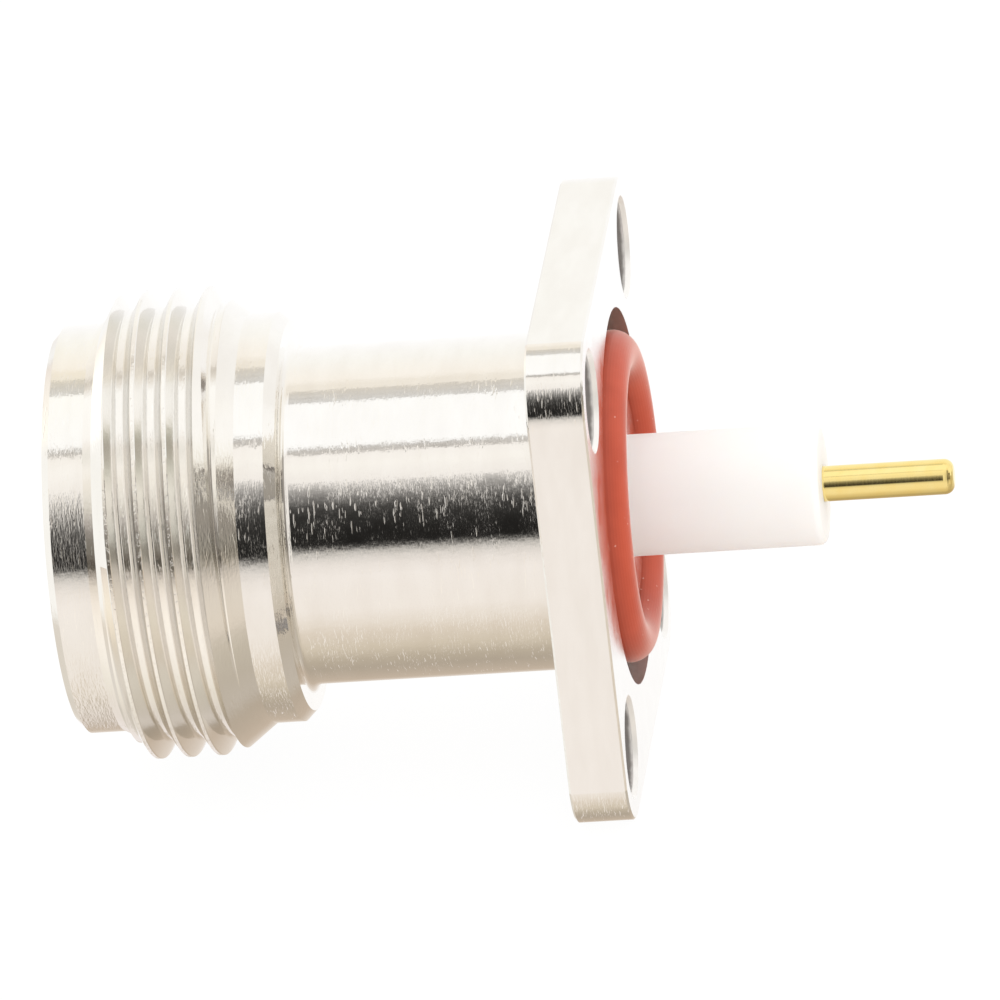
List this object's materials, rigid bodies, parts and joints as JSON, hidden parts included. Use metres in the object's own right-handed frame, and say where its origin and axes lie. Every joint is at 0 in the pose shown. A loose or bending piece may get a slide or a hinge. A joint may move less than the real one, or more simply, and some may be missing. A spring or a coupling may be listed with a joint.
{
  "type": "n type connector",
  "caption": "Panel-mount coaxial jack: threaded coupling barrel, square bolted flange with a sealing ring, and a solder pin in an extended dielectric.",
  "frame": {"origin": "centre of the four fixing holes on the flange's rear face, the face that seats on the panel", "axes": "+X along the axis out of the solder pin, +Y and +Z square to the flange's sides; the mating end is at -X"},
  "size_m": [0.0299, 0.0176, 0.0176],
  "materials": {
    "nickel_plating": "bright nickel plating over turned brass",
    "dielectric": "turned PTFE, smooth and slightly waxy",
    "gold_plating": "bright gold plating",
    "silicone": "moulded silicone, satin"
  },
  "bodies": {
    "root": {"body": "nickel_plating", "retaining_sleeve": "nickel_plating", "front_insulator": "dielectric", "rear_insulator": "dielectric", "centre_contact": "gold_plating", "flange_seal": "silicone"}
  },
  "joints": []
}
